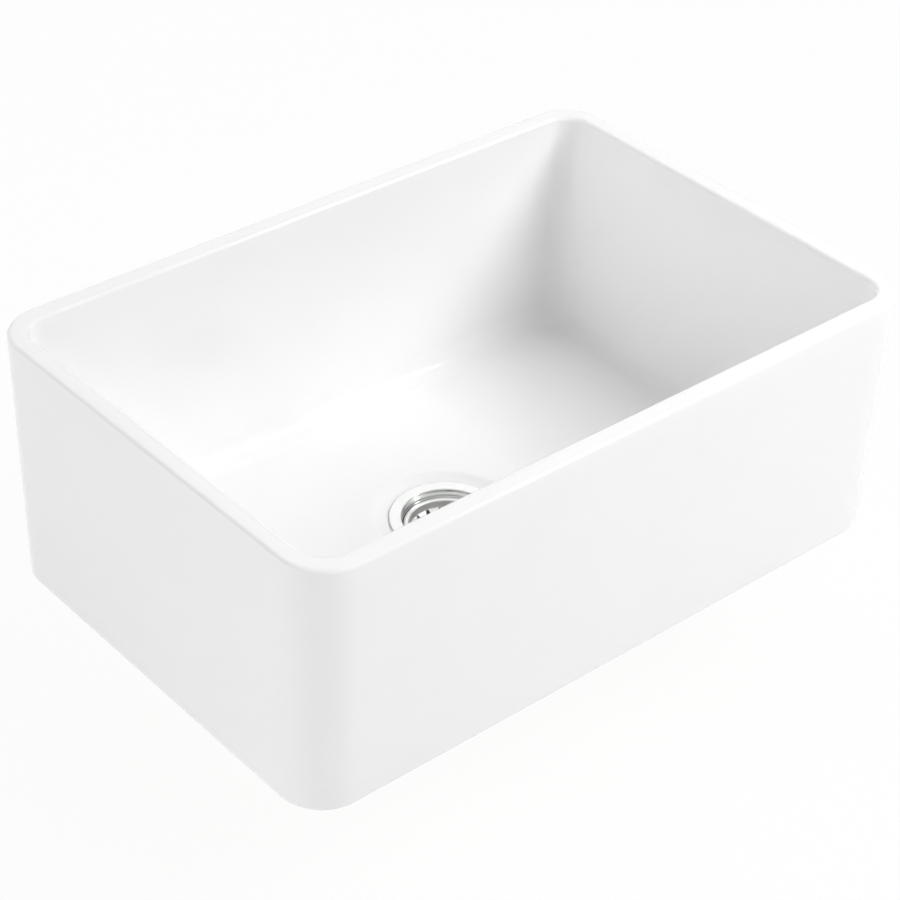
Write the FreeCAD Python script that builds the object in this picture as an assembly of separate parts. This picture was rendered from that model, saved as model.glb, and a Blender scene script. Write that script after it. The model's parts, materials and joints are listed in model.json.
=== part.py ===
import FreeCAD, Part
import math
import os

# Butler sink with a basket strainer waste.
# Millimetres, +Z up, X along the length, front face at -Y. The origin is the middle of the sink's base.

# Basin, outside
LENGTH = 685.0
WIDTH = 460.0
HEIGHT = 255.0
END_DRAFT = 2.0
SIDE_DRAFT = 5.5
CORNER_R = 44.0
RIM_OUTER_R = 4.0
BASE_EDGE_R = 4.0

# Basin, inside
WALL = 18.4
RIM_INNER_R = 4.0
INNER_END_DRAFT = 8.0
INNER_SIDE_DRAFT = 5.0
FLOOR_CORNER_R = 26.0
COVE_R = 22.0
FLOOR = 24.0
FLOOR_FALL = 2.0
FALL_MARGIN = 4.0

# Waste: its place, the recess in the floor and the hole in the base
WASTE_Y = 8.0
RECESS_DEPTH = 4.0
RECESS_GAP = 2.5
DISH_WIDTH = 14.0
HOLE_GAP = 1.6

# Strainer body: flange, stepped throat, cup with rolled thread, sump and spider
SHEET = 1.0
FLANGE_WIDTH = 11.9
FLANGE_EDGE_R = 1.2
LIP_GAP = 0.7
THROAT_R = 43.6
THROAT_ROUND = 1.0
THROAT_DEPTH = 4.3
STEP_COUNT = 2
STEP_IN = 0.5
STEP_HEIGHT = 3.5
CREASE_R = 0.3
THREAD_START = 2.0
THREAD_PITCH = 3.0
THREAD_COUNT = 7
THREAD_HEIGHT = 0.9
THREAD_RUNOUT = 2.0
LEDGE_WIDTH = 13.6
CUP_ROUND = 2.0
LEDGE_ROUND = 1.0
SUMP_DEPTH = 20.0
SUMP_ROUND = 2.5
SEAT_BEAD_WIDTH = 2.0
SEAT_BEAD_HEIGHT = 3.0
SPIDER_MARGIN = 2.0
SPIDER_HUB_WIDTH = 3.0
SPIDER_ARM = 5.0
SPIDER_ARM_COUNT = 4

# Clamp rings under the base
SEAL_THICKNESS = 1.0
SEAL_INSET = 0.2
GASKET_THICKNESS = 4.0
GASKET_WIDTH = 10.0
GASKET_SEAT_DEPTH = 1.0
GASKET_SEAT_GAP = 2.5
WASHER_THICKNESS = 1.2
LOCKNUT_HEIGHT = 12.0
LOCKNUT_WALL = 6.0
LUG_COUNT = 6
LUG_WIDTH = 10.0
LUG_REACH = 5.0
NUT_CHAMFER = 1.0

# Outlet
SPIGOT_R = 23.9
SPIGOT_BORE_R = 20.5
SPIGOT_LENGTH = 22.0
SPIGOT_FLANGE_WIDTH = 3.0
SPIGOT_FLANGE_THICKNESS = 2.0
TAIL_R = 19.05
TAIL_WALL = 1.0
TAIL_LENGTH = 90.0
TAIL_FLANGE_WIDTH = 3.2
TAIL_FLANGE_THICKNESS = 1.5
TAIL_WASHER_THICKNESS = 1.6
TAIL_NECK_RELIEF = 0.35
TAIL_NECK_BELOW = 1.0
COUPLING_WALL = 5.0
COUPLING_GRIP = 14.0
COUPLING_LIP = 3.0
HEX_SIDES = 6

# Basket
BASKET_SHEET = 0.8
BASKET_RIM_DROP = 7.2
BASKET_RIM_R = 41.6
CURL_WIDTH = 5.2
CURL_DROP = 2.2
CURL_ROUND = 2.0
BAND_HEIGHT = 8.2
BAND_DRAFT = 0.5
SHOULDER = 2.8
SHOULDER_ROUND = 0.6
BASKET_FOOT_R = 32.8
BASKET_FOOT_ROUND = 1.4
SLOT_COUNT = 17
SLOT_WIDTH = 4.0
SLOT_DROP = 8.2
SLOT_RISE = 7.0
SLOT_TURN = 7.8
HOLE_RING_COUNTS = (10, 16)
HOLE_RING_START = 14.0
HOLE_RING_STEP = 8.0
DRAIN_HOLE_R = 1.7

# Bush, post, knob and stopper
POST_R = 3.5
POST_END_R = 2.5
POST_END_LENGTH = 12.0
POST_CHAMFER = 0.5
COLLAR_R = 5.5
COLLAR_HEIGHT = 2.5
BUSH_WALL = 2.5
BUSH_FLANGE_WIDTH = 2.5
BUSH_FLANGE_THICKNESS = 3.0
BUSH_BELOW = 2.0
BUSH_RING_WIDTH = 1.5
BUSH_RING_HEIGHT = 1.6
BUSH_RING_ROUND = 0.6
SOCKET_WALL = 3.0
SOCKET_FLANGE_WIDTH = 1.5
SOCKET_FLANGE_THICKNESS = 0.8
SOCKET_LENGTH = 9.0
STOPPER_GAP = 2.2
STOPPER_OVERLAP = 2.8
STOPPER_THICKNESS = 4.0
STOPPER_EDGE_R = 1.0
PLATE_R = 20.0
PLATE_THICKNESS = 1.2
STOPPER_WASHER_R = 12.0
STOPPER_WASHER_THICKNESS = 0.8
CLIP_R = 5.0
CLIP_THICKNESS = 0.8
CLIP_GROOVE = 0.6
CLIP_MOUTH = 2.6
KNOB_R = 9.0
KNOB_NECK_R = 5.0
KNOB_HEIGHT = 17.0
KNOB_HEAD = 7.0
KNOB_ROUND = 2.5
KNOB_BORE_DEPTH = 10.0
KNOB_DROP = 4.0

# Clearances
STATIC_FIT = 0.05
RUNNING_FIT = 0.05
THREAD_GAP = 0.15
SEAT_GAP = 0.1

# Places that follow from the sizes above, as heights or radii about the waste axis
seat_z = FLOOR - FLOOR_FALL - RECESS_DEPTH
flange_top = seat_z + SEAL_THICKNESS + SHEET
flange_r = THROAT_R + FLANGE_WIDTH
recess_r = flange_r + RECESS_GAP
waste_hole_r = THROAT_R + SHEET + HOLE_GAP
cup_r = THROAT_R - STEP_COUNT * STEP_IN
thread_r = cup_r + THREAD_HEIGHT + SHEET
ledge_z = -THREAD_START - THREAD_COUNT * THREAD_PITCH - THREAD_RUNOUT
sump_r = cup_r - LEDGE_WIDTH
sump_z = ledge_z - SUMP_DEPTH
stopper_r = sump_r - STOPPER_GAP
seat_bead_r = stopper_r - STOPPER_OVERLAP
stopper_z = sump_z + SEAT_BEAD_HEIGHT + SEAT_GAP
plate_z = stopper_z + STOPPER_THICKNESS
post_shoulder_z = plate_z + PLATE_THICKNESS
clip_top = stopper_z - STOPPER_WASHER_THICKNESS
clip_z = clip_top - CLIP_THICKNESS
socket_r = POST_END_R + SOCKET_WALL
basket_base = ledge_z + SEAT_GAP
basket_floor = basket_base + BASKET_SHEET
basket_rim_z = flange_top - BASKET_RIM_DROP
bush_r = POST_R + BUSH_WALL
bush_top = basket_floor + BUSH_FLANGE_THICKNESS
bush_end = basket_base - BUSH_BELOW
bush_bore_r = POST_R + RUNNING_FIT
bush_ring_r = bush_bore_r + BUSH_RING_WIDTH
bush_ring_z = (bush_top + bush_end - BUSH_RING_HEIGHT) / 2
collar_z = bush_top + SEAT_GAP
knob_z = basket_rim_z - KNOB_DROP - KNOB_HEIGHT
gasket_r = waste_hole_r + GASKET_WIDTH
gasket_z = GASKET_SEAT_DEPTH - GASKET_THICKNESS
washer_z = gasket_z - WASHER_THICKNESS
spigot_top = sump_z - SHEET
spigot_end = spigot_top - SPIGOT_FLANGE_THICKNESS - SPIGOT_LENGTH
tail_top = spigot_end - TAIL_WASHER_THICKNESS
tail_flange_r = TAIL_R + TAIL_FLANGE_WIDTH
tail_lip_z = tail_top - TAIL_FLANGE_THICKNESS
coupling_end = tail_lip_z - COUPLING_LIP

Z_AXIS = FreeCAD.Vector(0, 0, 1)
WASTE_PLACE = FreeCAD.Vector(0, WASTE_Y, 0)
NEAR = 0.001


def rounded_rectangle(half_x, half_y, radius, z):
    """Level wire of a rectangle with rounded corners, centred on the Z axis."""
    edges = []
    corners = [(1, -1), (1, 1), (-1, 1), (-1, -1)]
    for index, (side_x, side_y) in enumerate(corners):
        centre = FreeCAD.Vector(side_x * (half_x - radius), side_y * (half_y - radius), z)
        start = 90 * (index - 1)
        circle = Part.Circle(centre, Z_AXIS, radius)
        edges.append(Part.ArcOfCircle(circle, math.radians(start), math.radians(start + 90)).toShape())
    sides = []
    for index, arc in enumerate(edges):
        following = edges[(index + 1) % len(edges)]
        sides.append(arc)
        sides.append(Part.makeLine(arc.lastVertex().Point, following.firstVertex().Point))
    return Part.Wire(sides)


def level_edges(shape, z, half_x, half_y):
    """Edges of a shape that lie at one height, within a rectangle about the Z axis."""
    found = []
    for edge in shape.Edges:
        box = edge.BoundBox
        level = abs(box.ZMin - z) < NEAR and abs(box.ZMax - z) < NEAR
        inside_x = max(abs(box.XMin), abs(box.XMax)) < half_x + NEAR
        inside_y = max(abs(box.YMin), abs(box.YMax)) < half_y + NEAR
        if level and inside_x and inside_y:
            found.append(edge)
    return found


def rounded_corner(before, corner, after, radius):
    """Start, middle and end of the arc that rounds a corner."""
    to_before = (before - corner).normalize()
    to_after = (after - corner).normalize()
    half_angle = to_before.getAngle(to_after) / 2
    reach = radius / math.tan(half_angle)
    bisector = (to_before + to_after).normalize()
    middle = corner + bisector * (radius / math.sin(half_angle) - radius)
    return corner + to_before * reach, middle, corner + to_after * reach


def outline(points):
    """Closed wire in the XZ plane through (x, z) points, or (x, z, corner radius) points."""
    count = len(points)
    corners = [FreeCAD.Vector(point[0], 0, point[1]) for point in points]
    stops = []
    for index, point in enumerate(points):
        if len(point) > 2 and point[2] > 0:
            after = corners[(index + 1) % count]
            stops.append(rounded_corner(corners[index - 1], corners[index], after, point[2]))
        else:
            stops.append((corners[index],))
    edges = []
    for index, stop in enumerate(stops):
        following = stops[(index + 1) % count][0]
        if len(stop) == 3:
            edges.append(Part.Arc(*stop).toShape())
        if stop[-1].distanceToPoint(following) > NEAR:
            edges.append(Part.makeLine(stop[-1], following))
    return Part.Wire(edges)


def turned(points):
    """Solid of revolution about the waste axis, from an outline in radius and height."""
    solid = Part.Face(outline(points)).revolve(FreeCAD.Vector(), Z_AXIS, 360)
    solid.translate(WASTE_PLACE)
    return solid


def ring(inner_r, outer_r, low, high):
    """Plain ring about the waste axis."""
    return turned([(inner_r, low), (outer_r, low), (outer_r, high), (inner_r, high)])


def left_normal(start, end):
    """Unit normal on the left of a line from start to end, in the XZ plane."""
    run = end[0] - start[0]
    rise = end[1] - start[1]
    length = math.hypot(run, rise)
    return -rise / length, run / length


def pressed(line, thickness):
    """Outline of a sheet: a line of (x, z, corner radius) points, and the same line moved to its left."""
    moved = []
    last = len(line) - 1
    for index, (x, z, radius) in enumerate(line):
        first = left_normal(line[max(index - 1, 0)], line[max(index, 1)])
        second = left_normal(line[min(index, last - 1)], line[min(index + 1, last)])
        share = thickness / (1 + first[0] * second[0] + first[1] * second[1])
        left_turn = first[0] * second[1] - first[1] * second[0] > 0
        far_radius = max(radius - thickness, 0) if left_turn else radius + thickness
        if index in (0, last):
            far_radius = 0
        moved.append((x + share * (first[0] + second[0]), z + share * (first[1] + second[1]), far_radius))
    return line + moved[::-1]


def about_waste(shape, degrees):
    """Copy of a shape turned about the waste axis."""
    copy = shape.copy()
    copy.rotate(WASTE_PLACE, Z_AXIS, degrees)
    return copy


def spaced_about_waste(shape, count, first=0.0):
    """Copies of a shape evenly spaced about the waste axis."""
    return [about_waste(shape, first + 360.0 * index / count) for index in range(count)]


def sink_outside():
    """Outer block of the basin, drafted, with its rim and base edges rounded."""
    half_x = LENGTH / 2
    half_y = WIDTH / 2
    base = rounded_rectangle(half_x - END_DRAFT, half_y - SIDE_DRAFT, CORNER_R, 0)
    top = rounded_rectangle(half_x, half_y, CORNER_R, HEIGHT)
    block = Part.makeLoft([base, top], True, True)
    block = block.makeFillet(BASE_EDGE_R, level_edges(block, 0, half_x, half_y))
    return block.makeFillet(RIM_OUTER_R, level_edges(block, HEIGHT, half_x, half_y))


def sink_hollow(half_x, half_y):
    """Space inside the basin, drafted, with a cove round the floor."""
    floor_x = half_x - INNER_END_DRAFT
    floor_y = half_y - INNER_SIDE_DRAFT
    low = rounded_rectangle(floor_x, floor_y, FLOOR_CORNER_R, FLOOR)
    high = rounded_rectangle(half_x, half_y, CORNER_R - WALL, HEIGHT)
    hollow = Part.makeLoft([low, high], True, True)
    return hollow.makeFillet(COVE_R, level_edges(hollow, FLOOR, half_x, half_y))


def waste_recess(fall_r):
    """Space of the gentle fall to the waste, and of the dished recess for its flange."""
    lip_r = recess_r + DISH_WIDTH
    lip_z = FLOOR - FLOOR_FALL
    middle_r = recess_r + DISH_WIDTH / 2
    middle_z = seat_z + RECESS_DEPTH / 2
    dish_r = (DISH_WIDTH ** 2 + RECESS_DEPTH ** 2) / (4 * RECESS_DEPTH)
    half_turn = math.atan2(RECESS_DEPTH, DISH_WIDTH)
    bend_run = dish_r * math.sin(half_turn)
    bend_drop = dish_r * (1 - math.cos(half_turn))
    seat = FreeCAD.Vector(recess_r, 0, seat_z)
    low_bend = FreeCAD.Vector(recess_r + bend_run, 0, seat_z + bend_drop)
    middle = FreeCAD.Vector(middle_r, 0, middle_z)
    high_bend = FreeCAD.Vector(lip_r - bend_run, 0, lip_z - bend_drop)
    lip = FreeCAD.Vector(lip_r, 0, lip_z)
    rest = [lip]
    rest.append(FreeCAD.Vector(fall_r, 0, FLOOR))
    rest.append(FreeCAD.Vector(fall_r, 0, FLOOR + FLOOR_FALL))
    rest.append(FreeCAD.Vector(0, 0, FLOOR + FLOOR_FALL))
    rest.append(FreeCAD.Vector(0, 0, seat_z))
    rest.append(seat)
    edges = [Part.Arc(seat, low_bend, middle).toShape(), Part.Arc(middle, high_bend, lip).toShape()]
    for start, end in zip(rest, rest[1:]):
        edges.append(Part.makeLine(start, end))
    space = Part.Face(Part.Wire(edges)).revolve(FreeCAD.Vector(), Z_AXIS, 360)
    space.translate(WASTE_PLACE)
    return space


def sink_basin():
    """Fired basin in one piece."""
    half_x = LENGTH / 2 - WALL
    half_y = WIDTH / 2 - WALL
    fall_r = half_y - INNER_SIDE_DRAFT - COVE_R - abs(WASTE_Y) - FALL_MARGIN
    basin = sink_outside().cut(sink_hollow(half_x, half_y))
    inner_round = min(RIM_INNER_R, WALL - RIM_OUTER_R - 1)
    basin = basin.makeFillet(inner_round, level_edges(basin, HEIGHT, half_x, half_y))
    basin = basin.cut(waste_recess(fall_r))
    basin = basin.cut(ring(0, gasket_r + GASKET_SEAT_GAP, -FLOOR, GASKET_SEAT_DEPTH))
    return basin.cut(ring(0, waste_hole_r, -FLOOR, 2 * FLOOR))


def strainer_body():
    """Pressed flange and cup of the waste, with its rolled thread and spider bottom."""
    lip_z = seat_z + LIP_GAP
    line = [(flange_r, lip_z, 0), (flange_r, flange_top, FLANGE_EDGE_R), (THROAT_R, flange_top, THROAT_ROUND)]
    wall_r = THROAT_R
    step_z = flange_top - THROAT_DEPTH
    for _ in range(STEP_COUNT):
        line.append((wall_r, step_z, CREASE_R))
        wall_r -= STEP_IN
        line.append((wall_r, step_z - STEP_IN, CREASE_R))
        step_z -= STEP_HEIGHT
    for index in range(THREAD_COUNT):
        ridge_z = -THREAD_START - index * THREAD_PITCH
        line.append((cup_r, ridge_z, 0))
        line.append((cup_r + THREAD_HEIGHT, ridge_z - THREAD_PITCH / 2, 0))
    line.append((cup_r, -THREAD_START - THREAD_COUNT * THREAD_PITCH, 0))
    line.append((cup_r, ledge_z, CUP_ROUND))
    line.append((sump_r, ledge_z, LEDGE_ROUND))
    line.append((sump_r, sump_z, SUMP_ROUND))
    bead_top = sump_z + SEAT_BEAD_HEIGHT
    bead_half = SEAT_BEAD_WIDTH / 2
    line.append((seat_bead_r + bead_half + SHEET, sump_z, 0))
    line.append((seat_bead_r + bead_half, bead_top, 0))
    line.append((seat_bead_r - bead_half, bead_top, 0))
    line.append((seat_bead_r - bead_half - SHEET, sump_z, 0))
    line.append((socket_r + STATIC_FIT, sump_z, 0))
    body = turned(pressed(line, SHEET))
    hub_r = socket_r + SPIDER_HUB_WIDTH
    open_r = seat_bead_r - bead_half - SHEET - SPIDER_MARGIN
    opening = ring(hub_r, open_r, sump_z - 2 * SHEET, sump_z + SHEET)
    arm = Part.makeBox(open_r, SPIDER_ARM, 4 * SHEET)
    arm.translate(FreeCAD.Vector(0, WASTE_Y - SPIDER_ARM / 2, sump_z - 3 * SHEET))
    return body.cut(opening.cut(spaced_about_waste(arm, SPIDER_ARM_COUNT)))


def locknut():
    """Lugged ring nut on the cup's thread."""
    bore_r = thread_r + THREAD_GAP
    outer_r = bore_r + LOCKNUT_WALL
    low = washer_z - LOCKNUT_HEIGHT
    nut = turned([
        (bore_r, low),
        (outer_r - NUT_CHAMFER, low),
        (outer_r, low + NUT_CHAMFER),
        (outer_r, washer_z),
        (bore_r, washer_z),
    ])
    middle_r = (bore_r + outer_r) / 2
    lug = Part.makeBox(outer_r + LUG_REACH - middle_r, LUG_WIDTH, LOCKNUT_HEIGHT)
    lug = lug.makeFillet(NUT_CHAMFER, [edge for edge in lug.Edges if edge.BoundBox.XMin > NEAR])
    lug.translate(FreeCAD.Vector(middle_r, WASTE_Y - LUG_WIDTH / 2, low))
    return nut.fuse(spaced_about_waste(lug, LUG_COUNT)).removeSplitter()


def outlet_spigot():
    """Threaded outlet under the cup."""
    flange_base = spigot_top - SPIGOT_FLANGE_THICKNESS
    return turned([
        (SPIGOT_BORE_R, spigot_end),
        (SPIGOT_R - NUT_CHAMFER, spigot_end),
        (SPIGOT_R, spigot_end + NUT_CHAMFER),
        (SPIGOT_R, flange_base),
        (SPIGOT_R + SPIGOT_FLANGE_WIDTH, flange_base),
        (SPIGOT_R + SPIGOT_FLANGE_WIDTH, spigot_top),
        (SPIGOT_BORE_R, spigot_top),
    ])


def coupling_nut():
    """Six-sided nut that draws the tailpiece up to the outlet."""
    bore_r = SPIGOT_R + THREAD_GAP
    flat_r = bore_r + COUPLING_WALL
    corner_r = flat_r / math.cos(math.pi / HEX_SIDES)
    low = coupling_end
    high = spigot_end + COUPLING_GRIP
    points = []
    for index in range(HEX_SIDES + 1):
        angle = 2 * math.pi * index / HEX_SIDES
        points.append(FreeCAD.Vector(corner_r * math.cos(angle), corner_r * math.sin(angle) + WASTE_Y, low))
    prism = Part.Face(Part.makePolygon(points)).extrude(FreeCAD.Vector(0, 0, high - low))
    crown = turned([
        (0, low),
        (flat_r, low),
        (corner_r, low + corner_r - flat_r),
        (corner_r, high - corner_r + flat_r),
        (flat_r, high),
        (0, high),
    ])
    nut = prism.common(crown)
    nut = nut.cut(ring(0, bore_r, tail_lip_z, high + COUPLING_LIP))
    return nut.cut(ring(0, TAIL_R + THREAD_GAP, low - COUPLING_LIP, high))


def tailpiece():
    """Flanged outlet tube, relieved at its neck so that the nut turns on it."""
    bore_r = TAIL_R - TAIL_WALL
    neck_r = TAIL_R - TAIL_NECK_RELIEF
    neck_z = coupling_end - TAIL_NECK_BELOW
    return turned([
        (bore_r, tail_top - TAIL_LENGTH),
        (TAIL_R, tail_top - TAIL_LENGTH),
        (TAIL_R, neck_z),
        (neck_r, neck_z),
        (neck_r, tail_lip_z),
        (tail_flange_r, tail_lip_z),
        (tail_flange_r, tail_top),
        (bore_r, tail_top),
    ])


def post_socket():
    """Bush in the spider's hub that guides the end of the post."""
    bore_r = POST_END_R + RUNNING_FIT
    flange_high = sump_z + SOCKET_FLANGE_THICKNESS
    return turned([
        (bore_r, flange_high - SOCKET_LENGTH),
        (socket_r, flange_high - SOCKET_LENGTH),
        (socket_r, sump_z),
        (socket_r + SOCKET_FLANGE_WIDTH, sump_z),
        (socket_r + SOCKET_FLANGE_WIDTH, flange_high),
        (bore_r, flange_high),
    ])


def wall_slot():
    """Cutter for one upright slot with round ends in the basket's wall, on the +X side."""
    radius = SLOT_WIDTH / 2
    low = basket_floor + SLOT_RISE + radius
    high = basket_rim_z - SLOT_DROP - radius
    start = BASKET_FOOT_R - BASKET_FOOT_ROUND - CURL_WIDTH
    length = BASKET_RIM_R - start
    across = FreeCAD.Vector(1, 0, 0)
    cutter = Part.makeBox(length, SLOT_WIDTH, high - low)
    cutter.translate(FreeCAD.Vector(start, WASTE_Y - radius, low))
    for z in (low, high):
        end = Part.makeCylinder(radius, length, FreeCAD.Vector(start, WASTE_Y, z), across)
        cutter = cutter.fuse(end)
    return cutter


def basket():
    """Perforated strainer basket with a curled rim, a plain band and a shoulder where its slots begin."""
    wall_top_r = BASKET_RIM_R - CURL_WIDTH
    band_r = wall_top_r - BAND_DRAFT
    band_z = basket_rim_z - BAND_HEIGHT
    shell = turned(pressed([
        (BASKET_RIM_R, basket_rim_z - CURL_DROP, 0),
        (BASKET_RIM_R, basket_rim_z, CURL_ROUND),
        (wall_top_r, basket_rim_z, CURL_ROUND),
        (band_r, band_z, SHOULDER_ROUND),
        (band_r - SHOULDER, band_z - SHOULDER, SHOULDER_ROUND),
        (BASKET_FOOT_R, basket_floor, BASKET_FOOT_ROUND),
        (bush_r + STATIC_FIT, basket_floor, 0),
    ], BASKET_SHEET))
    cutters = spaced_about_waste(wall_slot(), SLOT_COUNT, 90 - SLOT_TURN)
    for index, count in enumerate(HOLE_RING_COUNTS):
        place = FreeCAD.Vector(HOLE_RING_START + index * HOLE_RING_STEP, WASTE_Y, basket_base - BASKET_SHEET)
        hole = Part.makeCylinder(DRAIN_HOLE_R, 3 * BASKET_SHEET, place)
        cutters += spaced_about_waste(hole, count)
    return shell.cut(cutters)


def basket_bush():
    """Flanged bush in the basket's bottom in which the post slides, grooved for its ring."""
    groove_r = bush_ring_r + STATIC_FIT
    groove_low = bush_ring_z - STATIC_FIT
    groove_high = bush_ring_z + BUSH_RING_HEIGHT + STATIC_FIT
    return turned([
        (bush_bore_r, bush_end),
        (bush_r, bush_end),
        (bush_r, basket_floor),
        (bush_r + BUSH_FLANGE_WIDTH, basket_floor),
        (bush_r + BUSH_FLANGE_WIDTH, bush_top),
        (bush_bore_r, bush_top),
        (bush_bore_r, groove_high),
        (groove_r, groove_high),
        (groove_r, groove_low),
        (bush_bore_r, groove_low),
    ])


def bush_ring():
    """Rubber ring in the bush that grips the post, so that the plug stays up."""
    high = bush_ring_z + BUSH_RING_HEIGHT
    return turned([
        (bush_bore_r, bush_ring_z, BUSH_RING_ROUND),
        (bush_ring_r, bush_ring_z, BUSH_RING_ROUND),
        (bush_ring_r, high, BUSH_RING_ROUND),
        (bush_bore_r, high, BUSH_RING_ROUND),
    ])


def post():
    """Stepped rod with a stop collar, a groove for the clip and a spigot for the knob."""
    groove_r = POST_END_R - CLIP_GROOVE
    end_z = clip_z - POST_END_LENGTH
    return turned([
        (0, end_z),
        (POST_END_R - POST_CHAMFER, end_z),
        (POST_END_R, end_z + POST_CHAMFER),
        (POST_END_R, clip_z),
        (groove_r, clip_z),
        (groove_r, clip_top),
        (POST_END_R, clip_top),
        (POST_END_R, post_shoulder_z),
        (POST_R, post_shoulder_z),
        (POST_R, collar_z),
        (COLLAR_R, collar_z),
        (COLLAR_R, collar_z + COLLAR_HEIGHT),
        (POST_R, collar_z + COLLAR_HEIGHT),
        (POST_R, knob_z),
        (POST_END_R, knob_z),
        (POST_END_R, knob_z + KNOB_BORE_DEPTH - STATIC_FIT),
        (0, knob_z + KNOB_BORE_DEPTH - STATIC_FIT),
    ])


def knob():
    """Turned pull knob with a blind bore for the post."""
    bore_r = POST_END_R + STATIC_FIT
    top = knob_z + KNOB_HEIGHT
    head = top - KNOB_HEAD
    return turned([
        (bore_r, knob_z),
        (KNOB_NECK_R, knob_z, POST_CHAMFER),
        (KNOB_NECK_R, head - KNOB_R + KNOB_NECK_R, KNOB_ROUND),
        (KNOB_R, head, KNOB_ROUND),
        (KNOB_R, top, KNOB_ROUND),
        (0, top),
        (0, knob_z + KNOB_BORE_DEPTH),
        (bore_r, knob_z + KNOB_BORE_DEPTH),
    ])


def stopper_seal():
    """Rubber stopper that closes the outlet."""
    bore_r = POST_END_R + STATIC_FIT
    return turned([
        (bore_r, stopper_z),
        (stopper_r, stopper_z, STOPPER_EDGE_R),
        (stopper_r, plate_z, STOPPER_EDGE_R),
        (bore_r, plate_z),
    ])


def stopper_clip():
    """Open retaining ring in the post's groove."""
    groove_r = POST_END_R - CLIP_GROOVE + STATIC_FIT
    clip = ring(groove_r, CLIP_R, clip_z + STATIC_FIT, clip_top)
    mouth = Part.makeBox(CLIP_R, CLIP_MOUTH, 2 * CLIP_THICKNESS)
    mouth.translate(FreeCAD.Vector(0, WASTE_Y - CLIP_MOUTH / 2, clip_z))
    return clip.cut(mouth)


def flange_seal():
    """Rubber ring under the flange."""
    return ring(waste_hole_r, flange_r - SHEET - SEAL_INSET, seat_z, seat_z + SEAL_THICKNESS)


def base_gasket():
    """Thick rubber gasket under the sink's base."""
    return ring(waste_hole_r, gasket_r, gasket_z, GASKET_SEAT_DEPTH)


def friction_washer():
    """Fibre washer that lets the locknut slip on the gasket."""
    return ring(thread_r + THREAD_GAP, gasket_r, washer_z, gasket_z)


def tail_washer():
    """Flat washer between the outlet and the tailpiece."""
    return ring(SPIGOT_BORE_R, SPIGOT_R - NUT_CHAMFER, tail_top, spigot_end)


def stopper_plate():
    """Steel washer between the post's shoulder and the stopper."""
    return ring(POST_END_R + STATIC_FIT, PLATE_R, plate_z, post_shoulder_z)


def stopper_washer():
    """Steel washer that keeps the clip off the rubber of the stopper."""
    return ring(POST_END_R + STATIC_FIT, STOPPER_WASHER_R, clip_top, stopper_z)


MAKERS = [
    sink_basin,
    strainer_body,
    flange_seal,
    base_gasket,
    friction_washer,
    locknut,
    outlet_spigot,
    post_socket,
    coupling_nut,
    tail_washer,
    tailpiece,
    basket,
    basket_bush,
    bush_ring,
    post,
    knob,
    stopper_plate,
    stopper_seal,
    stopper_washer,
    stopper_clip,
]


def main():
    """Make every piece and write it under its own name."""
    os.makedirs("parts", exist_ok=True)
    for maker in MAKERS:
        shape = maker()
        volume = sum(solid.Volume for solid in shape.Solids) / 1000
        print(f"{maker.__name__}: {len(shape.Solids)} solid, {volume:.2f} cm3, valid {shape.isValid()}")
        shape.exportStep(f"parts/{maker.__name__}.step")


main()
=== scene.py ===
"""Glazed fireclay butler sink with a stainless basket strainer waste.

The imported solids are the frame. The basin is drawn again here as one smooth
glazed surface, and the pieces of the waste keep their solids and get their finish.
"""

import json
import logging
import math
from dataclasses import dataclass, field
from enum import Enum
from typing import Any, Iterator

import bpy
from mathutils import Matrix, Vector


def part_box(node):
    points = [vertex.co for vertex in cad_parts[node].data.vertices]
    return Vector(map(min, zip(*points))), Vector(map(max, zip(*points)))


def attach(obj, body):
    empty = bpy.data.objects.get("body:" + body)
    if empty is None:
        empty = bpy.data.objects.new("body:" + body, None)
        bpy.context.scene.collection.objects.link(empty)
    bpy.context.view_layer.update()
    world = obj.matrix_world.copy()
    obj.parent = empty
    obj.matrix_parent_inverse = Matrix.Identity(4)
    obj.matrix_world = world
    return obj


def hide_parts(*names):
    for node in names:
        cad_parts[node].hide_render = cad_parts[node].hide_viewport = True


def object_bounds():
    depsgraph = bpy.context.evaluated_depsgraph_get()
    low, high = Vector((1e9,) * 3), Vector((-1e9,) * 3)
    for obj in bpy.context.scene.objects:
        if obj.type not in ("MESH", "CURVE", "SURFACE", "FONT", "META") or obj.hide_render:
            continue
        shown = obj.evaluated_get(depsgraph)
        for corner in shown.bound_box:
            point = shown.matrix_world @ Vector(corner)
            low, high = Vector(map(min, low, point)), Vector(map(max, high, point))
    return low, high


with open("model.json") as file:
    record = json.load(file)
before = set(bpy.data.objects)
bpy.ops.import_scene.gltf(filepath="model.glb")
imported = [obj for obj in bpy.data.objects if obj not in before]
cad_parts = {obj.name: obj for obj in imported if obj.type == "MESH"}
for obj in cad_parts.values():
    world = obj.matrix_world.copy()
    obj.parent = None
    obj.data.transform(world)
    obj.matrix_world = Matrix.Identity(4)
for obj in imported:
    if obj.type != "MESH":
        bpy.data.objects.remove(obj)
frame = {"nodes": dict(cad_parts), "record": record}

CAD_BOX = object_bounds()
MM = 0.001
QUARTER = math.pi / 2
BASIN_NODE = "sink_basin"
# The waste's axis is a little behind the middle of the basin
WASTE_Y = 8.0 * MM
WHITE_LIGHT = (1.0, 1.0, 1.0, 1.0)
# Sockets of a Mix node that mixes colours; their names repeat, so they go by number
MIX_SHARE, MIX_FIRST, MIX_SECOND, MIX_COLOUR = 0, 6, 7, 2

log = logging.getLogger("butler_sink")


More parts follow.
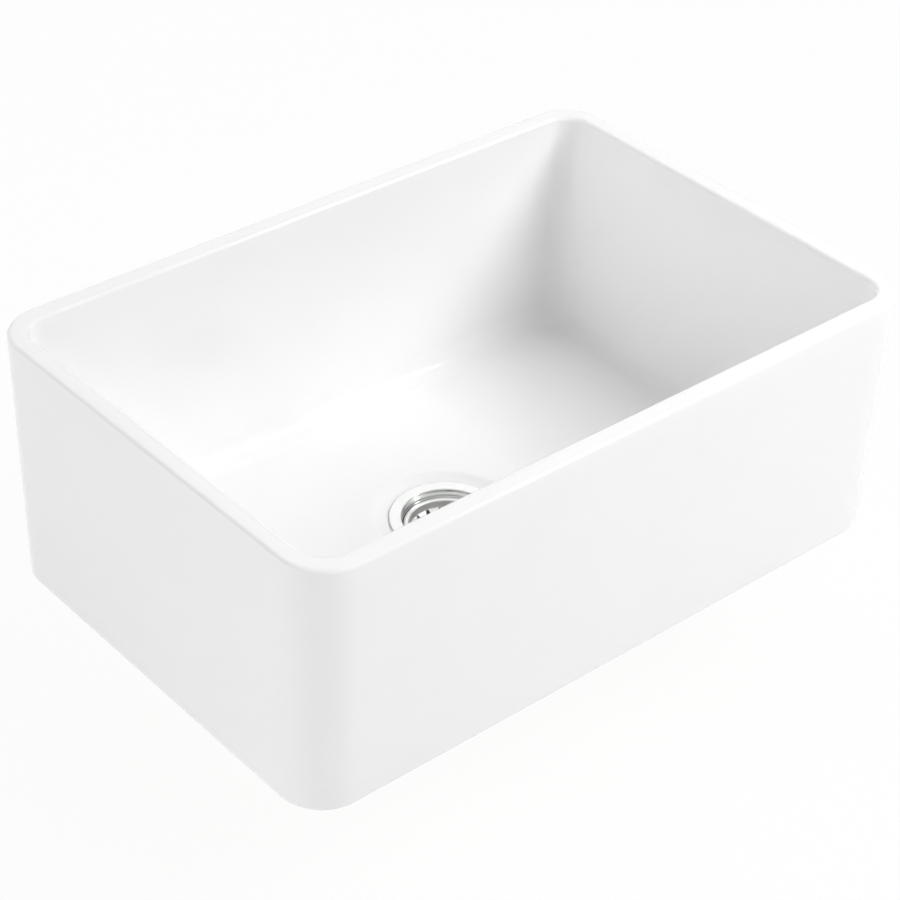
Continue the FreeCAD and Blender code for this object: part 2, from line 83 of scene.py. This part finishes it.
def linear(hex_colour: str) -> tuple[float, float, float, float]:
    """Turns an sRGB hex colour to linear light.

    Args:
        hex_colour: Six hex digits with a leading hash.

    Returns:
        Linear red, green, blue and an alpha of one.
    """
    channels = [int(hex_colour[i : i + 2], 16) / 255 for i in (1, 3, 5)]
    red, green, blue = (
        c / 12.92 if c <= 0.04045 else ((c + 0.055) / 1.055) ** 2.4 for c in channels
    )
    return red, green, blue, 1.0


def pattern_scale(size_mm: float) -> float:
    """Turns a pattern's size in millimetres to a texture's scale."""
    return 1 / (size_mm * MM)


def heading(turn: float) -> Vector:
    """Gives the level unit vector at an angle from +X, in radians."""
    return Vector((math.cos(turn), math.sin(turn), 0.0))


def add_node(
    tree: bpy.types.NodeTree,
    kind: str,
    inputs: dict[str | int, Any] | None = None,
    **settings: Any,
) -> bpy.types.Node:
    """Adds one node with its settings, socket values and links.

    Args:
        tree: The node tree that gets the node.
        kind: The node's type name.
        inputs: Socket name or index to a value, or to the socket that feeds it.
        settings: Properties of the node itself.

    Returns:
        The new node.
    """
    node = tree.nodes.new(kind)
    for name, value in settings.items():
        setattr(node, name, value)
    for name, value in (inputs or {}).items():
        if isinstance(value, bpy.types.NodeSocket):
            tree.links.new(value, node.inputs[name])
        else:
            node.inputs[name].default_value = value
    return node


class Slot(Enum):
    """The record's material slots."""

    FIRECLAY = "fireclay"
    STAINLESS = "stainless"
    CHROME = "chrome"
    BRASS = "brass"
    RUBBER = "rubber"
    FIBRE = "fibre"
    NYLON = "nylon"


@dataclass(frozen=True)
class Finish:
    """A material made from nodes, with the name of what it is and how its surface was made."""

    name: str

    def material(self) -> bpy.types.Material:
        """Makes the material, or finds it if a piece has it already.

        Returns:
            The material.
        """
        known = bpy.data.materials.get(self.name)
        if known:
            return known
        made = bpy.data.materials.new(self.name)
        made.use_nodes = True
        made.node_tree.nodes.clear()
        shader = self.surface(made.node_tree)
        add_node(made.node_tree, "ShaderNodeOutputMaterial", {"Surface": shader.outputs[0]})
        return made

    def surface(self, tree: bpy.types.NodeTree) -> bpy.types.Node:
        """Draws the surface; each finish has its own."""
        raise NotImplementedError(self.name)


@dataclass(frozen=True)
class GlazedFireclay(Finish):
    """Fireclay under a sprayed white glaze, fired until the glaze flows.

    It gives the eye an even clean white under a glassy skin, with a slow ripple from
    the casting and a finer one where the sprayed drops ran together.
    """

    white: str = "#fbfbfb"
    thin_white: str = "#f8f8f8"
    roughness: float = 0.05
    spread: float = 0.2
    ior: float = 1.52
    cloud_mm: float = 90.0
    ripple_mm: float = 46.0
    ripple_depth_mm: float = 0.06
    drop_mm: float = 5.0
    drop_depth_mm: float = 0.006

    def surface(self, tree: bpy.types.NodeTree) -> bpy.types.Node:
        """Draws the glaze.

        Args:
            tree: The material's node tree.

        Returns:
            The shader node.
        """
        place = add_node(tree, "ShaderNodeTexCoord").outputs["Object"]
        cloud = add_node(
            tree, "ShaderNodeTexNoise",
            {"Vector": place, "Scale": pattern_scale(self.cloud_mm), "Detail": 3.0},
        )
        white = add_node(
            tree, "ShaderNodeMix",
            {
                MIX_SHARE: cloud.outputs["Fac"],
                MIX_FIRST: linear(self.white), MIX_SECOND: linear(self.thin_white),
            },
            data_type="RGBA",
        )
        gloss = add_node(
            tree, "ShaderNodeMapRange",
            {
                "Value": cloud.outputs["Fac"],
                "To Min": self.roughness * (1 - self.spread),
                "To Max": self.roughness * (1 + self.spread),
            },
        )
        ripple = add_node(
            tree, "ShaderNodeTexNoise",
            {"Vector": place, "Scale": pattern_scale(self.ripple_mm), "Detail": 1.0},
        )
        drops = add_node(
            tree, "ShaderNodeTexNoise",
            {"Vector": place, "Scale": pattern_scale(self.drop_mm), "Detail": 2.0},
        )
        slow = add_node(
            tree, "ShaderNodeBump",
            {"Height": ripple.outputs["Fac"], "Distance": self.ripple_depth_mm * MM},
        )
        fine = add_node(
            tree, "ShaderNodeBump",
            {
                "Height": drops.outputs["Fac"], "Distance": self.drop_depth_mm * MM,
                "Normal": slow.outputs["Normal"],
            },
        )
        return add_node(
            tree, "ShaderNodeBsdfPrincipled",
            {
                "Base Color": white.outputs[MIX_COLOUR], "Roughness": gloss.outputs[0],
                "IOR": self.ior, "Normal": fine.outputs["Normal"],
            },
        )


@dataclass(frozen=True)
class BareFireclay(Finish):
    """Fired clay left unglazed where the sink stood in the kiln and where it is bedded.

    It gives the eye a dry buff with grog specks and no gloss.
    """

    buff: str = "#dccfb6"
    speck: str = "#b59c7a"
    roughness: float = 0.88
    ior: float = 1.5
    grog_gap_mm: float = 3.2
    speck_core: float = 0.12
    speck_edge: float = 0.3
    patch_mm: float = 60.0
    grog_depth_mm: float = 0.15
    grog_strength: float = 0.6

    def surface(self, tree: bpy.types.NodeTree) -> bpy.types.Node:
        """Draws the bare clay.

        Args:
            tree: The material's node tree.

        Returns:
            The shader node.
        """
        place = add_node(tree, "ShaderNodeTexCoord").outputs["Object"]
        grog = add_node(
            tree, "ShaderNodeTexVoronoi",
            {"Vector": place, "Scale": pattern_scale(self.grog_gap_mm)},
        )
        patch = add_node(
            tree, "ShaderNodeTexNoise",
            {"Vector": place, "Scale": pattern_scale(self.patch_mm), "Detail": 4.0},
        )
        specks = add_node(
            tree, "ShaderNodeMapRange",
            {
                "Value": grog.outputs["Distance"],
                "From Min": self.speck_core, "From Max": self.speck_edge,
                "To Min": 1.0, "To Max": 0.0,
            },
        )
        shown = add_node(
            tree, "ShaderNodeMath",
            {0: specks.outputs[0], 1: patch.outputs["Fac"]},
            operation="MULTIPLY",
        )
        buff = add_node(
            tree, "ShaderNodeMix",
            {
                MIX_SHARE: shown.outputs[0],
                MIX_FIRST: linear(self.buff), MIX_SECOND: linear(self.speck),
            },
            data_type="RGBA",
        )
        grain = add_node(
            tree, "ShaderNodeBump",
            {
                "Height": grog.outputs["Distance"], "Strength": self.grog_strength,
                "Distance": self.grog_depth_mm * MM,
            },
        )
        return add_node(
            tree, "ShaderNodeBsdfPrincipled",
            {
                "Base Color": buff.outputs[MIX_COLOUR], "Roughness": self.roughness,
                "IOR": self.ior, "Normal": grain.outputs["Normal"],
            },
        )


@dataclass(frozen=True)
class TurnedMetal(Finish):
    """Metal finished while it turned on its axis, by spinning, buffing or a lathe tool.

    It gives the eye fine rings round the axis that draw each highlight out, over a
    slow cloud of handling. Real polishing rings are some hundredths of a millimetre
    apart and too fine to show, so line_mm is as coarse as they need to show. All the
    pieces turn on the waste's axis.
    """

    bright: str = "#ecedec"
    dull: str = "#e2e3e2"
    roughness: float = 0.3
    spread: float = 0.3
    line_mm: float = 0.5
    line_low: float = 0.3
    line_high: float = 0.7
    line_depth_mm: float = 0.002
    line_strength: float = 0.5
    cloud_mm: float = 25.0

    def surface(self, tree: bpy.types.NodeTree) -> bpy.types.Node:
        """Draws the turned metal.

        Args:
            tree: The material's node tree.

        Returns:
            The shader node.
        """
        place = add_node(tree, "ShaderNodeTexCoord").outputs["Object"]
        offset = add_node(
            tree, "ShaderNodeVectorMath", {0: place, 1: (0.0, WASTE_Y, 0.0)}, operation="SUBTRACT",
        )
        parts = add_node(tree, "ShaderNodeSeparateXYZ", {0: offset.outputs[0]})
        flat = add_node(
            tree, "ShaderNodeCombineXYZ", {"X": parts.outputs["X"], "Y": parts.outputs["Y"]},
        )
        reach = add_node(tree, "ShaderNodeVectorMath", {0: flat.outputs[0]}, operation="LENGTH")
        turned = add_node(
            tree, "ShaderNodeCombineXYZ", {"X": reach.outputs["Value"], "Y": parts.outputs["Z"]},
        )
        lines = add_node(
            tree, "ShaderNodeTexNoise",
            {"Vector": turned.outputs[0], "Scale": pattern_scale(self.line_mm), "Detail": 2.0},
        )
        cloud = add_node(
            tree, "ShaderNodeTexNoise",
            {"Vector": place, "Scale": pattern_scale(self.cloud_mm), "Detail": 3.0},
        )
        tone = add_node(
            tree, "ShaderNodeMix",
            {
                MIX_SHARE: cloud.outputs["Fac"],
                MIX_FIRST: linear(self.bright), MIX_SECOND: linear(self.dull),
            },
            data_type="RGBA",
        )
        gloss = add_node(
            tree, "ShaderNodeMapRange",
            {
                "Value": lines.outputs["Fac"],
                "From Min": self.line_low, "From Max": self.line_high,
                "To Min": self.roughness * (1 - self.spread),
                "To Max": self.roughness * (1 + self.spread),
            },
        )
        grain = add_node(
            tree, "ShaderNodeBump",
            {
                "Height": lines.outputs["Fac"], "Strength": self.line_strength,
                "Distance": self.line_depth_mm * MM,
            },
        )
        return add_node(
            tree, "ShaderNodeBsdfPrincipled",
            {
                "Base Color": tone.outputs[MIX_COLOUR], "Metallic": 1.0,
                "Roughness": gloss.outputs[0], "Normal": grain.outputs["Normal"],
            },
        )


@dataclass(frozen=True)
class MouldedGrain(Finish):
    """A soft or pressed stuff with a fine even grain and a faint bloom on it.

    It gives the eye a nearly matt skin whose tone wanders a little.
    """

    tone: str = "#1d1d1e"
    bloom: str = "#333333"
    roughness: float = 0.6
    ior: float = 1.52
    grain_mm: float = 0.4
    grain_depth_mm: float = 0.02
    grain_strength: float = 0.6
    bloom_mm: float = 18.0

    def surface(self, tree: bpy.types.NodeTree) -> bpy.types.Node:
        """Draws the grained stuff.

        Args:
            tree: The material's node tree.

        Returns:
            The shader node.
        """
        place = add_node(tree, "ShaderNodeTexCoord").outputs["Object"]
        bloom = add_node(
            tree, "ShaderNodeTexNoise",
            {"Vector": place, "Scale": pattern_scale(self.bloom_mm), "Detail": 4.0},
        )
        tone = add_node(
            tree, "ShaderNodeMix",
            {
                MIX_SHARE: bloom.outputs["Fac"],
                MIX_FIRST: linear(self.tone), MIX_SECOND: linear(self.bloom),
            },
            data_type="RGBA",
        )
        grain = add_node(
            tree, "ShaderNodeTexNoise",
            {"Vector": place, "Scale": pattern_scale(self.grain_mm), "Detail": 2.0},
        )
        skin = add_node(
            tree, "ShaderNodeBump",
            {
                "Height": grain.outputs["Fac"], "Strength": self.grain_strength,
                "Distance": self.grain_depth_mm * MM,
            },
        )
        return add_node(
            tree, "ShaderNodeBsdfPrincipled",
            {
                "Base Color": tone.outputs[MIX_COLOUR], "Roughness": self.roughness,
                "IOR": self.ior, "Normal": skin.outputs["Normal"],
            },
        )


# Sprayed glaze over fireclay: an even clean white under glass
WHITE_GLAZE = GlazedFireclay("white_glazed_fireclay")
# Fired body wiped clean of glaze: dry buff with grog
BUFF_CLAY = BareFireclay("unglazed_fired_clay")
# Pressed sheet buffed on a wheel: a clear grey sheen that runs round the axis
BUFFED_STAINLESS = TurnedMetal(
    "buffed_pressed_stainless_steel", bright="#e2e3e2", dull="#dadbda", roughness=0.14,
)
# Pressed and pierced sheet left as it was tumbled: a sheen with no clear highlight, in a lighter
# copy of the buffed stainless whose pale tone is painted light for the basket's shaded inside
PAINTED_LIGHT_STAINLESS = TurnedMetal(
    "tumbled_stainless_with_painted_light", bright="#f4f4f3", dull="#ebecea", roughness=0.42,
)
# Plate over polished brass: a cold mirror with hardly a ring in it
BRIGHT_CHROME = TurnedMetal(
    "bright_chrome_plate", bright="#e0e2e4", dull="#d6d8da", roughness=0.05, line_depth_mm=0.0008,
)
# Cut on a lathe and left plain: yellow with clear tool rings and a little tarnish
TURNED_BRASS = TurnedMetal(
    "lathe_turned_brass", bright="#d0ae68", dull="#b48f4e", roughness=0.24, line_depth_mm=0.004,
)
# Moulded with carbon black: nearly black, with a grey bloom and a dull skin
BLACK_RUBBER = MouldedGrain("moulded_black_rubber")
# Pressed from paper fibre: matt brown with coarse flecks
PRESSED_FIBRE = MouldedGrain(
    "pressed_fibre_board",
    tone="#9a7f58", bloom="#7f6643", roughness=0.85, grain_mm=0.9, bloom_mm=6.0,
)
# Injection moulded and uncoloured: a waxy cream
MOULDED_NYLON = MouldedGrain(
    "moulded_natural_nylon",
    tone="#ece6d8", bloom="#e2dac8", roughness=0.42, ior=1.53, grain_depth_mm=0.008,
)

FINISHES: dict[Slot, Finish] = {
    Slot.FIRECLAY: WHITE_GLAZE,
    Slot.STAINLESS: BUFFED_STAINLESS,
    Slot.CHROME: BRIGHT_CHROME,
    Slot.BRASS: TURNED_BRASS,
    Slot.RUBBER: BLACK_RUBBER,
    Slot.FIBRE: PRESSED_FIBRE,
    Slot.NYLON: MOULDED_NYLON,
}


@dataclass(frozen=True)
class Level:
    """One level loop round the basin: a rounded rectangle at a height, in metres."""

    half_x: float
    half_y: float
    corner: float
    z: float


@dataclass
class Basin:
    """The one-piece basin. Its overall sizes come from the frame; the rest are in metres."""

    node: str = BASIN_NODE
    # Outside: the walls lean in towards the base
    end_draft: float = 2.0 * MM
    side_draft: float = 5.5 * MM
    corner: float = 44.0 * MM
    rim_outer_r: float = 4.0 * MM
    base_edge_r: float = 4.0 * MM
    # Inside: the wall is as thick as this at the rim and thicker at the floor
    wall: float = 18.4 * MM
    rim_inner_r: float = 4.0 * MM
    inner_end_draft: float = 8.0 * MM
    inner_side_draft: float = 5.0 * MM
    floor_corner: float = 26.0 * MM
    cove: float = 22.0 * MM
    # Floor and underside: the floor falls to a dished recess round the waste's hole
    floor: float = 24.0 * MM
    fall: float = 2.0 * MM
    recess_depth: float = 4.0 * MM
    recess_r: float = 58.0 * MM
    dish: float = 14.0 * MM
    hole_r: float = 46.2 * MM
    arris: float = 1.0 * MM
    gasket_seat_r: float = 58.7 * MM
    gasket_seat_depth: float = 1.0 * MM
    waste_y: float = WASTE_Y
    # Mesh: how many steps each stretch has, and how the base edge is wiped and shaded
    corner_steps: int = 18
    long_steps: int = 30
    short_steps: int = 20
    round_steps: int = 10
    wall_steps: int = 12
    cove_steps: int = 18
    floor_steps: int = 16
    hole_steps: int = 4
    wiped_loops: int = 3
    sharp_from: float = math.radians(40.0)
    half_x: float = field(init=False)
    half_y: float = field(init=False)
    top: float = field(init=False)

    def __post_init__(self) -> None:
        """Takes the overall sizes from the frame."""
        _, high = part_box(self.node)
        self.half_x, self.half_y, self.top = high.x, high.y, high.z
        # The frame's box is at the start of the rim's round, so the draft lost there goes back on
        lost = self.rim_outer_r / self.top
        self.half_x += self.end_draft * lost
        self.half_y += self.side_draft * lost

    def outside(self, z: float, inset: float = 0.0) -> Level:
        """Gives the outer wall's loop at a height.

        Args:
            z: The height at which the drafted wall is read.
            inset: How far the loop lies inside the wall.

        Returns:
            The loop, at that height.
        """
        down = 1 - z / self.top
        return Level(
            self.half_x - self.end_draft * down - inset,
            self.half_y - self.side_draft * down - inset,
            self.corner - inset,
            z,
        )

    def inside(self, z: float, inset: float = 0.0) -> Level:
        """Gives the inner wall's loop at a height.

        Args:
            z: The height at which the drafted wall is read.
            inset: How far the loop lies in from the wall, or out over the rim if below zero.

        Returns:
            The loop, at that height.
        """
        down = (self.top - z) / (self.top - self.floor)
        rim_corner = self.corner - self.wall
        return Level(
            self.half_x - self.wall - self.inner_end_draft * down - inset,
            self.half_y - self.wall - self.inner_side_draft * down - inset,
            rim_corner + (self.floor_corner - rim_corner) * down - inset,
            z,
        )

    def levels(self) -> Iterator[Level]:
        """Walks the section from the base edge up, over the rim and down to the floor.

        Yields:
            The loops, in the order of the walk.
        """
        turns = [QUARTER * i / self.round_steps for i in range(self.round_steps + 1)]
        for turn in turns:
            yield self.outside(
                self.base_edge_r * (1 - math.cos(turn)), self.base_edge_r * (1 - math.sin(turn)),
            )
        low, high = self.base_edge_r, self.top - self.rim_outer_r
        for i in range(1, self.wall_steps):
            yield self.outside(low + (high - low) * i / self.wall_steps)
        for turn in turns:
            yield self.outside(
                high + self.rim_outer_r * math.sin(turn), self.rim_outer_r * (1 - math.cos(turn)),
            )
        start = self.top - self.rim_inner_r
        for turn in reversed(turns):
            yield self.inside(
                start + self.rim_inner_r * math.sin(turn), -self.rim_inner_r * (1 - math.cos(turn)),
            )
        foot = self.floor + self.cove
        for i in range(1, self.wall_steps):
            yield self.inside(start + (foot - start) * i / self.wall_steps)
        for i in range(self.cove_steps + 1):
            turn = QUARTER * i / self.cove_steps
            yield self.inside(
                foot - self.cove * math.sin(turn), self.cove * (1 - math.cos(turn)),
            )

    def loop(self, level: Level) -> list[Vector]:
        """Spaces points round a rounded rectangle, the same number on every level.

        Args:
            level: The loop's sizes and height.

        Returns:
            The points, anticlockwise seen from above.
        """
        reach_x, reach_y = level.half_x - level.corner, level.half_y - level.corner
        signs = ((1, 1), (-1, 1), (-1, -1), (1, -1))
        middles = [Vector((sx * reach_x, sy * reach_y, level.z)) for sx, sy in signs]
        points: list[Vector] = []
        for k, middle in enumerate(middles):
            for i in range(self.corner_steps + 1):
                turn = QUARTER * (k + i / self.corner_steps)
                points.append(middle + level.corner * heading(turn))
            start = points[-1]
            end = middles[(k + 1) % len(middles)] + level.corner * heading(QUARTER * (k + 1))
            steps = self.long_steps if k % 2 == 0 else self.short_steps
            points += [start.lerp(end, i / steps) for i in range(1, steps)]
        return points

    def circle(self, like: list[Vector], radius: float, z: float) -> list[Vector]:
        """Draws a circle round the waste whose points lie towards another loop's points.

        Args:
            like: The loop that the circle faces.
            radius: The circle's radius.
            z: Its height.

        Returns:
            The points, in the other loop's order.
        """
        points: list[Vector] = []
        for point in like:
            turn = math.atan2(point.y - self.waste_y, point.x)
            x, y = radius * math.cos(turn), radius * math.sin(turn)
            points.append(Vector((x, self.waste_y + y, z)))
        return points

    def floor_loops(self, rim: list[Vector]) -> Iterator[list[Vector]]:
        """Draws the floor from the cove's foot to the hole: the fall, the dish and the seat.

        Args:
            rim: The loop at the cove's foot.

        Yields:
            Loops that shrink towards the hole.
        """
        lip_r = self.recess_r + self.dish
        lip = self.circle(rim, lip_r, self.floor - self.fall)
        for i in range(1, self.floor_steps + 1):
            share = i / self.floor_steps
            eased = share * share * (3 - 2 * share)
            z = self.floor - self.fall * eased
            yield [Vector((*a.lerp(b, share).xy, z)) for a, b in zip(rim, lip)]
        for i in range(1, self.round_steps + 1):
            share = i / self.round_steps
            eased = (1 - math.cos(math.pi * share)) / 2
            yield self.circle(
                rim, lip_r - self.dish * share, self.floor - self.fall - self.recess_depth * eased,
            )
        seat = self.floor - self.fall - self.recess_depth
        for radius in (self.recess_r - self.recess_depth, self.hole_r + self.arris):
            yield self.circle(rim, radius, seat)
        high, low = seat - self.arris, self.gasket_seat_depth + self.arris
        for i in range(self.hole_steps + 1):
            yield self.circle(rim, self.hole_r, high + (low - high) * i / self.hole_steps)

    def underside_loops(self, edge: list[Vector]) -> Iterator[list[Vector]]:
        """Draws the base from the hole out to the base edge: the gasket's seat, then the flat.

        Args:
            edge: The loop where the base edge's round begins.

        Yields:
            Loops that grow towards the edge.
        """
        for radius in (self.hole_r + self.arris, self.gasket_seat_r):
            yield self.circle(edge, radius, self.gasket_seat_depth)
        inner = self.circle(edge, self.gasket_seat_r, 0.0)
        yield inner
        for i in range(1, self.floor_steps):
            yield [a.lerp(b, i / self.floor_steps) for a, b in zip(inner, edge)]

    def build(self) -> bpy.types.Object:
        """Makes the basin as one closed surface and puts it in the frame.

        Returns:
            The basin's object.
        """
        loops = [self.loop(level) for level in self.levels()]
        loops += self.floor_loops(loops[-1])
        bare_from = len(loops)
        loops += self.underside_loops(loops[0])
        count = len(loops[0])
        faces: list[tuple[int, int, int, int]] = []
        bare: list[bool] = []
        for k in range(len(loops)):
            upper = (k + 1) % len(loops)
            for i in range(count):
                j = (i + 1) % count
                faces.append(
                    (k * count + i, k * count + j, upper * count + j, upper * count + i)
                )
                bare.append(k < self.wiped_loops or k >= bare_from - 1)
        mesh = bpy.data.meshes.new("glazed_basin")
        mesh.from_pydata([p for points in loops for p in points], [], faces)
        for finish in (FINISHES[Slot.FIRECLAY], BUFF_CLAY):
            mesh.materials.append(finish.material())
        for polygon, is_bare in zip(mesh.polygons, bare):
            polygon.material_index = int(is_bare)
            polygon.use_smooth = True
        mesh.set_sharp_from_angle(angle=self.sharp_from)
        basin = bpy.data.objects.new("glazed_basin", mesh)
        bpy.context.scene.collection.objects.link(basin)
        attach(basin, "sink")
        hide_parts(self.node)
        return basin


@dataclass
class Waste:
    """The basket strainer waste: the frame's own solids, each in the finish of its slot, except the
    basket, whose lighter stainless is painted light for its shaded inside.
    """

    basin_node: str = BASIN_NODE
    basket_node: str = "basket"

    def dress(self) -> None:
        """Gives each solid of the waste its finish."""
        for subpart in frame["record"]["subparts"]:
            node = subpart["node"]
            if node == self.basin_node:
                continue
            finish = FINISHES[Slot(subpart["material_slot"])]
            # The basket's steel is painted lighter than its slot's stainless to brighten its shaded
            # inside
            if node == self.basket_node:
                finish = PAINTED_LIGHT_STAINLESS
            piece = frame["nodes"][node]
            piece.data.materials.clear()
            piece.data.materials.append(finish.material())
            log.info("dressed %s in %s", node, finish.name)


@dataclass(frozen=True)
class Softbox:
    """One square soft lamp that faces the sink, in degrees, metres and watts.

    A lamp that isn't mirrored lights the sink but leaves no highlight on the glaze.
    """

    name: str
    bearing: float
    height: float
    watts: float
    mirrored: bool = False
    distance: float = 6.0
    width: float = 3.4
    aim: tuple[float, float, float] = (0.0, 0.0, 0.12)

    def build(self) -> bpy.types.Object:
        """Makes the lamp.

        Returns:
            The lamp's object.
        """
        lamp = bpy.data.lights.new(self.name, "AREA")
        lamp.shape = "SQUARE"
        lamp.size = self.width
        lamp.energy = self.watts
        turn, rise = math.radians(self.bearing), math.radians(self.height)
        way = math.cos(rise) * heading(turn) + Vector((0.0, 0.0, math.sin(rise)))
        made = bpy.data.objects.new(self.name, lamp)
        place = Matrix.Translation(Vector(self.aim) + way * self.distance)
        made.matrix_world = place @ way.to_track_quat("Z", "Y").to_matrix().to_4x4()
        made.visible_glossy = self.mirrored
        bpy.context.scene.collection.objects.link(made)
        return made


@dataclass
class Studio:
    """The pale floor, the soft light and the camera at the photograph's angle.

    Angles are in degrees, lengths in metres, and the lens and its sensor in millimetres.
    The two keys light the basin from the front right, and the other plain lamps fill the
    faces that those leave in shade. The mirrored lamps draw the thin highlights.
    """

    azimuth: float = -41.568
    elevation: float = 35.416
    roll: float = 2.0845
    distance: float = 2.2988
    target: tuple[float, float, float] = (-0.0074119, 0.0000722, 0.1041508)
    lens: float = 100.662
    sensor: float = 36.0
    floor_size: float = 30.0
    floor_white: str = "#f4f4f4"
    floor_glow: float = 0.94
    sky: float = 0.08
    softboxes: tuple[Softbox, ...] = (
        Softbox("key_high", -45.0, 52.0, 67.0, distance=4.0, width=2.27),
        Softbox("key_front", -60.0, 38.0, 54.0, distance=4.0, width=2.27),
        Softbox("key_shine", -40.0, 40.0, 18.0, mirrored=True, distance=4.0, width=1.0),
        Softbox("left_low", 192.0, 20.0, 110.0),
        Softbox("left_floor", 170.0, 8.0, 62.0),
        Softbox("back_low", 90.0, 20.0, 113.0),
        Softbox("back_high", 90.0, 65.0, 36.0),
        Softbox("back_shine", 48.0, 35.0, 12.0, mirrored=True),
    )

    def light(self) -> None:
        """Sets the sky and the softboxes."""
        scene = bpy.context.scene
        scene.view_settings.view_transform = "Standard"
        world = bpy.data.worlds.new("white_studio")
        world.use_nodes = True
        tree = world.node_tree
        tree.nodes.clear()
        seen = self.seen_rays(tree)
        strength = add_node(
            tree, "ShaderNodeMapRange", {"Value": seen, "To Min": self.sky, "To Max": 1.0},
        )
        sky = add_node(
            tree, "ShaderNodeBackground",
            {"Color": WHITE_LIGHT, "Strength": strength.outputs[0]},
        )
        add_node(tree, "ShaderNodeOutputWorld", {"Surface": sky.outputs[0]})
        scene.world = world
        for softbox in self.softboxes:
            softbox.build()

    def seen_rays(self, tree: bpy.types.NodeTree) -> bpy.types.NodeSocket:
        """Tells the rays that show a surface from those that only light one.

        Args:
            tree: The node tree that asks.

        Returns:
            A socket that is one for camera, glossy and transmission rays.
        """
        path = add_node(tree, "ShaderNodeLightPath")
        first = add_node(
            tree, "ShaderNodeMath",
            {0: path.outputs["Is Camera Ray"], 1: path.outputs["Is Glossy Ray"]},
            operation="MAXIMUM",
        )
        both = add_node(
            tree, "ShaderNodeMath",
            {0: first.outputs[0], 1: path.outputs["Is Transmission Ray"]},
            operation="MAXIMUM",
        )
        return both.outputs[0]

    def floor(self) -> bpy.types.Object:
        """Lays the pale floor under the object's lowest point; it keeps a faint shadow.

        Returns:
            The floor's object.
        """
        half, low = self.floor_size / 2, CAD_BOX[0][2]
        mesh = bpy.data.meshes.new("studio_floor")
        corners = [(-half, -half, low), (half, -half, low), (half, half, low), (-half, half, low)]
        mesh.from_pydata(corners, [], [(0, 1, 2, 3)])
        paint = bpy.data.materials.new("pale_studio_floor")
        paint.use_nodes = True
        tree = paint.node_tree
        tree.nodes.clear()
        matt = add_node(tree, "ShaderNodeBsdfDiffuse", {"Color": linear(self.floor_white)})
        glow = add_node(tree, "ShaderNodeEmission", {"Color": WHITE_LIGHT, "Strength": 1.0})
        share = add_node(
            tree, "ShaderNodeMath",
            {0: self.seen_rays(tree), 1: self.floor_glow},
            operation="MULTIPLY",
        )
        both = add_node(
            tree, "ShaderNodeMixShader",
            {0: share.outputs[0], 1: matt.outputs[0], 2: glow.outputs[0]},
        )
        add_node(tree, "ShaderNodeOutputMaterial", {"Surface": both.outputs[0]})
        mesh.materials.append(paint)
        floor = bpy.data.objects.new("studio_floor", mesh)
        bpy.context.scene.collection.objects.link(floor)
        return floor

    def camera(self) -> bpy.types.Object:
        """Puts the camera where the photograph was taken from.

        Returns:
            The camera's object.
        """
        az, el, roll = (math.radians(a) for a in (self.azimuth, self.elevation, self.roll))
        back = Vector((math.sin(az) * math.cos(el), -math.cos(az) * math.cos(el), math.sin(el)))
        level = heading(az)
        upright = back.cross(level)
        right = math.cos(roll) * level + math.sin(roll) * upright
        up = math.cos(roll) * upright - math.sin(roll) * level
        lens = bpy.data.cameras.new("photo_camera")
        lens.lens, lens.sensor_width, lens.sensor_fit = self.lens, self.sensor, "AUTO"
        made = bpy.data.objects.new("photo_camera", lens)
        place = Vector(self.target) + back * self.distance
        facing = Matrix((right, up, back)).transposed().to_4x4()
        made.matrix_world = Matrix.Translation(place) @ facing
        bpy.context.scene.collection.objects.link(made)
        bpy.context.scene.camera = made
        return made


def main() -> None:
    """Builds the studio, the basin and the waste in order."""
    logging.basicConfig(level=logging.INFO, format="%(message)s")
    studio = Studio()
    studio.camera()
    studio.light()
    studio.floor()
    basin = Basin().build()
    log.info("built %s with %d faces", basin.name, len(basin.data.polygons))
    Waste().dress()


if __name__ == "__main__":
    main()
